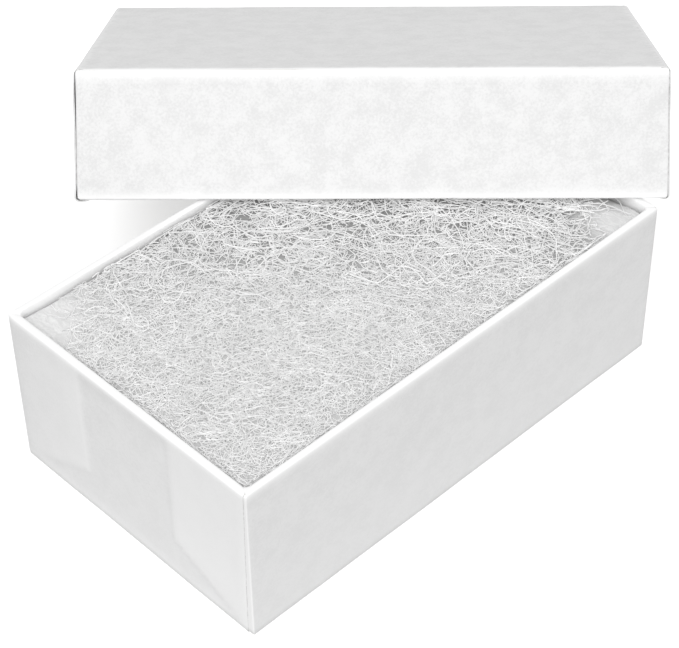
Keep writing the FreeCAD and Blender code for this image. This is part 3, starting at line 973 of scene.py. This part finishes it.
def held_strands(tree, given, mark, strands):
    """Turns strands back before the walls, each at its own distance, and holds them under a ceiling
    that falls towards the walls."""
    place = add_node(tree, "GeometryNodeInputPosition")
    lot = add_node(tree, "ShaderNodeMath", (mark,), operation="FRACT")
    margin = add_node(tree, "ShaderNodeMath", (lot, given["Margin"]), operation="MULTIPLY")
    inset = add_node(tree, "ShaderNodeCombineXYZ", (margin, margin))
    upper = add_node(tree, "ShaderNodeVectorMath", (given["High"], inset), operation="SUBTRACT")
    lower = add_node(tree, "ShaderNodeVectorMath", (given["Low"], inset), operation="ADD")
    inside = add_node(tree, "ShaderNodeVectorMath", (place, upper), operation="MINIMUM")
    inside = add_node(tree, "ShaderNodeVectorMath", (inside, lower), operation="MAXIMUM")
    ratio = add_node(tree, "ShaderNodeVectorMath", (inside, given["High"]), operation="DIVIDE")
    near = add_node(tree, "ShaderNodeVectorMath", (ratio,), operation="ABSOLUTE")
    near_x, near_y, _ = add_node(tree, "ShaderNodeSeparateXYZ", (near,)).outputs
    nearest = add_node(tree, "ShaderNodeMath", (near_x, near_y), operation="MAXIMUM")
    close = add_node(tree, "ShaderNodeMath", (nearest, RIM_STEEPNESS), operation="POWER")
    fall = add_node(tree, "ShaderNodeMath", (close, given["Rim Drop"]), operation="MULTIPLY")
    top = add_node(tree, "ShaderNodeSeparateXYZ", (given["High"],)).outputs[2]
    ceiling = add_node(tree, "ShaderNodeMath", (top, fall), operation="SUBTRACT")
    x, y, z = add_node(tree, "ShaderNodeSeparateXYZ", (inside,)).outputs
    height = add_node(tree, "ShaderNodeMath", (z, ceiling), operation="MINIMUM")
    kept = add_node(tree, "ShaderNodeCombineXYZ", (x, y, height))
    return add_node(tree, "GeometryNodeSetPosition", {"Geometry": strands, "Position": kept})


def fibre_tree():
    """Geometry nodes that scatter curled fibres over a surface and keep them inside the tray."""
    tree = bpy.data.node_groups.new("curled_fibres", "GeometryNodeTree")
    sockets = {}
    for name, kind, default in FIBRE_INPUTS:
        socket = tree.interface.new_socket(name=name, in_out="INPUT", socket_type=kind)
        if default is not None:
            socket.default_value = default
        sockets[name] = socket.identifier
    tree.interface.new_socket(name="Fibres", in_out="OUTPUT", socket_type="NodeSocketGeometry")
    given = add_node(tree, "NodeGroupInput").outputs
    mark = add_node(tree, "GeometryNodeInputNamedAttribute", {"Name": "fibre_id"}, data_type="FLOAT")
    strands = curled_strands(tree, given, mark, laid_strands(tree, given))
    ring = add_node(tree, "GeometryNodeCurvePrimitiveCircle", {"Resolution": 3, "Radius": given["Radius"]})
    tube = add_node(tree, "GeometryNodeCurveToMesh", {
        "Curve": held_strands(tree, given, mark, strands), "Profile Curve": ring, "Fill Caps": True,
    })
    smooth = add_node(tree, "GeometryNodeSetShadeSmooth", (tube,))
    final = add_node(tree, "GeometryNodeRealizeInstances", (smooth,))
    painted = add_node(tree, "GeometryNodeSetMaterial", {
        "Geometry": final, "Material": given["Material"],
    })
    add_node(tree, "NodeGroupOutput", (painted,))
    return tree, sockets


def fibre_layer(name, emitter, tree, sockets, values, material):
    """One layer of fibres, made by the node tree and turned into a plain mesh."""
    piece = new_piece(name, emitter.copy(), [material])
    modifier = piece.modifiers.new("fibres", "NODES")
    modifier.node_group = tree
    for key, value in values.items():
        modifier[sockets[key]] = value
    mesh = apply_modifiers(piece)
    if not mesh.polygons:
        raise RuntimeError(f"{name} came out empty")
    if not mesh.materials:
        mesh.materials.append(material)
    return piece


# ---------------------------------------------------------------- operators

class GIFTBOX_OT_stage(bpy.types.Operator):
    """Builds the floor, the soft light and the camera"""

    bl_idname = "gift_box.stage"
    bl_label = "Stage"

    def execute(self, context):
        scene = context.scene
        stage = settings().stage
        scene.view_settings.view_transform = "Standard"
        world = bpy.data.worlds.new("studio")
        world.use_nodes = True
        world.node_tree.nodes.clear()
        sky = add_node(world.node_tree, "ShaderNodeBackground", {
            "Color": (1, 1, 1, 1), "Strength": stage.sky,
        })
        add_node(world.node_tree, "ShaderNodeOutputWorld", {"Surface": sky})
        scene.world = world

        bm = bmesh.new()
        bmesh.ops.create_circle(bm, cap_ends=True, segments=96, radius=stage.floor_radius)
        mesh = bpy.data.meshes.new("floor")
        bm.to_mesh(mesh)
        bm.free()
        material, tree, place = new_material("matt_white_floor")
        cloud = add_node(tree, "ShaderNodeTexNoise", {"Vector": place, "Scale": 6.0, "Detail": 2.0})
        rough = add_node(tree, "ShaderNodeMapRange", {"Value": cloud, "To Min": 0.85, "To Max": 0.95})
        seen = add_node(tree, "ShaderNodeBsdfPrincipled", {
            "Base Color": rgba(stage.floor_colour), "Roughness": rough,
            "Emission Color": (1, 1, 1, 1), "Emission Strength": stage.floor_glow,
            "Specular IOR Level": 0.1,
        })
        bounced = add_node(tree, "ShaderNodeBsdfDiffuse", {"Color": rgba(stage.floor_bounce)})
        direct = add_node(tree, "ShaderNodeLightPath").outputs["Is Camera Ray"]
        shader = add_node(tree, "ShaderNodeMixShader", (direct, bounced, seen))
        floor = new_piece("floor", mesh, [finish_material(material, shader)])

        lamp_data = bpy.data.lights.new("key_lamp", "AREA")
        lamp_data.energy = stage.key
        lamp_data.size = stage.key_size
        lamp = bpy.data.objects.new("key_lamp", lamp_data)
        scene.collection.objects.link(lamp)
        self.aim(lamp, stage.key_azimuth, stage.key_elevation, stage.key_distance, 0.0)

        camera_data = bpy.data.cameras.new("camera")
        camera_data.lens = stage.lens
        camera_data.sensor_width = 36.0
        camera_data.clip_start = 0.01
        camera = bpy.data.objects.new("camera", camera_data)
        scene.collection.objects.link(camera)
        self.aim(camera, stage.azimuth, stage.elevation, stage.distance, stage.roll)
        scene.camera = camera
        return {"FINISHED"}

    def aim(self, thing, azimuth, elevation, distance, roll):
        """Places a lamp or camera at a distance from the aim, looking at it."""
        stage = settings().stage
        target = Vector((stage.aim_x, stage.aim_y, stage.aim_height))
        flat = math.cos(elevation)
        look = Vector((math.sin(azimuth) * flat, math.cos(azimuth) * flat, -math.sin(elevation)))
        level = look.cross(Vector((0, 0, 1))).normalized()
        down = look.cross(level)
        right = level * math.cos(roll) + down * math.sin(roll)
        up = right.cross(look)
        turn = Matrix((right, up, -look)).transposed().to_4x4()
        thing.matrix_world = Matrix.Translation(target - look * distance) @ turn


class GIFTBOX_OT_boards(bpy.types.Operator):
    """Gives the chipboard boxes and their stay tape their finishes"""

    bl_idname = "gift_box.boards"
    bl_label = "Boards and stays"

    def execute(self, context):
        board = board_material(settings().board)
        tape = tape_material(settings().board)
        for name, node in frame["nodes"].items():
            if name.endswith("_board") or "_stay_" in name:
                node.data.materials.clear()
                node.data.materials.append(board if name.endswith("_board") else tape)
        return {"FINISHED"}


class GIFTBOX_OT_wraps(bpy.types.Operator):
    """Builds the wrap paper of the tray and of the lid"""

    bl_idname = "gift_box.wraps"
    bl_label = "Wrap paper"

    def execute(self, context):
        paper = settings().paper
        edge = cut_edge_material(paper)
        tray_paper = wrap_paper_material("wrap_paper_tray_calendered", paper, paper.tray_cloud)
        lid_paper = wrap_paper_material("wrap_paper_lid_calendered", paper, paper.lid_cloud)
        plain = CutEdge(rim_reach=-0.05, panel_reach=-0.2, press=0.07)
        tray_corners = {
            (-1, -1): CutEdge(rim_reach=-0.14, panel_reach=-0.65, press=0.07), (-1, 1): plain,
            (1, -1): CutEdge(rim_reach=-0.1, panel_reach=-0.05, press=0.07), (1, 1): plain,
        }
        lid_corners = {
            (-1, 1): CutEdge(rim_reach=-0.06, panel_reach=-0.06, lift=0.20, bend=80, radius=0.24,
                              loose=True),
            (1, 1): CutEdge(rim_reach=-0.02, panel_reach=-0.02, lift=0.07, bend=70, radius=0.24),
            (-1, -1): plain, (1, -1): plain,
        }
        tray = HalfWrap("tray", WORLD_FRAME, paper.tray_panel_radius, paper.tray_turn_in, tray_corners,
                        False, 1)
        lid = HalfWrap("lid", lid_matrix(), paper.lid_panel_radius, paper.lid_turn_in, lid_corners,
                       True, 2)
        for half, body, sheet in ((tray, TRAY_BODY, tray_paper), (lid, LID_BODY, lid_paper)):
            piece = half.build([sheet, edge])
            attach(piece, body)
            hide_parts(f"{half.name}_wrap")
        return {"FINISHED"}


class GIFTBOX_OT_pad(bpy.types.Operator):
    """Builds the pad's body and scatters its curled fibres"""

    bl_idname = "gift_box.pad"
    bl_label = "Fibre pad"

    def execute(self, context):
        fibre = settings().fibre
        body = pad_body(batt_material(settings().pad))
        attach(body, FILL_BODY)
        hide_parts("fill_pad")

        emitter = emitter_mesh(body)
        area = sum(p.area for p in emitter.polygons)
        low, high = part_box("fill_pad")
        reach = fibre.thickness
        material = fibre_material(fibre)
        tree, sockets = fibre_tree()
        common = {
            "Low": (low.x + reach, low.y + reach, low.z), "High": (high.x - reach, high.y - reach, fibre.top),
            "Turns": fibre.turns, "Rim Drop": fibre.rim_drop, "Margin": fibre.margin, "Material": material,
        }
        short = {
            "Density": fibre.fibres / (EVEN_MEAN * area), "Density Attribute": "even",
            "Points": SHORT_POINTS, "Length": fibre.length, "Curl": fibre.curl,
            "Heading": 0.0, "Spread": math.pi, "Radius": fibre.thickness / 2,
        }
        long = {
            "Density": fibre.long_fibres / (RAISED_MEAN * area), "Density Attribute": "raised",
            "Points": LONG_POINTS, "Length": fibre.long_length, "Curl": fibre.long_curl,
            "Heading": fibre.heading, "Spread": fibre.spread, "Radius": fibre.long_thickness / 2,
        }
        layers = [(f"fibres_short_{i + 1}", short, fibre.seed + i, fibre.lift * i / fibre.layers)
                  for i in range(fibre.layers)]
        layers += [(f"fibres_long_{i + 1}", long, fibre.seed + LONG_SEED + i,
                    fibre.lift * (LONG_LIFT + LONG_LIFT_STEP * i)) for i in range(fibre.long_layers)]
        for name, kind, seed, lift in layers:
            values = {**kind, **common, "Seed": seed, "Lift": lift}
            piece = fibre_layer(name, emitter, tree, sockets, values, material)
            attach(piece, FILL_BODY)
        bpy.data.meshes.remove(emitter)
        return {"FINISHED"}


class GIFTBOX_PT_panel(bpy.types.Panel):
    """Lists the gift box's pieces and settings"""

    bl_idname = "GIFTBOX_PT_panel"
    bl_label = "Gift Box"
    bl_space_type = "VIEW_3D"
    bl_region_type = "UI"
    bl_category = "Gift Box"

    def draw(self, context):
        for operator in OPERATORS:
            self.layout.operator(operator.bl_idname)
        for group in (settings().paper, settings().board, settings().pad, settings().fibre,
                      settings().stage):
            box = self.layout.box()
            for name in group.__annotations__:
                box.prop(group, name)


GROUPS = (PaperSettings, BoardSettings, PadSettings, FibreSettings, StageSettings, GiftBoxSettings)
OPERATORS = (GIFTBOX_OT_stage, GIFTBOX_OT_boards, GIFTBOX_OT_wraps, GIFTBOX_OT_pad)
CLASSES = (*GROUPS, *OPERATORS, GIFTBOX_PT_panel)


def register():
    """Registers the classes and the scene's settings."""
    for item in CLASSES:
        bpy.utils.register_class(item)
    bpy.types.Scene.gift_box = PointerProperty(type=GiftBoxSettings)


def unregister():
    """Removes the settings and the classes."""
    del bpy.types.Scene.gift_box
    for item in reversed(CLASSES):
        bpy.utils.unregister_class(item)


def main():
    """Builds the stage and every piece."""
    register()
    bpy.ops.gift_box.stage()
    bpy.ops.gift_box.boards()
    bpy.ops.gift_box.wraps()
    bpy.ops.gift_box.pad()


if __name__ == "__main__":
    main()
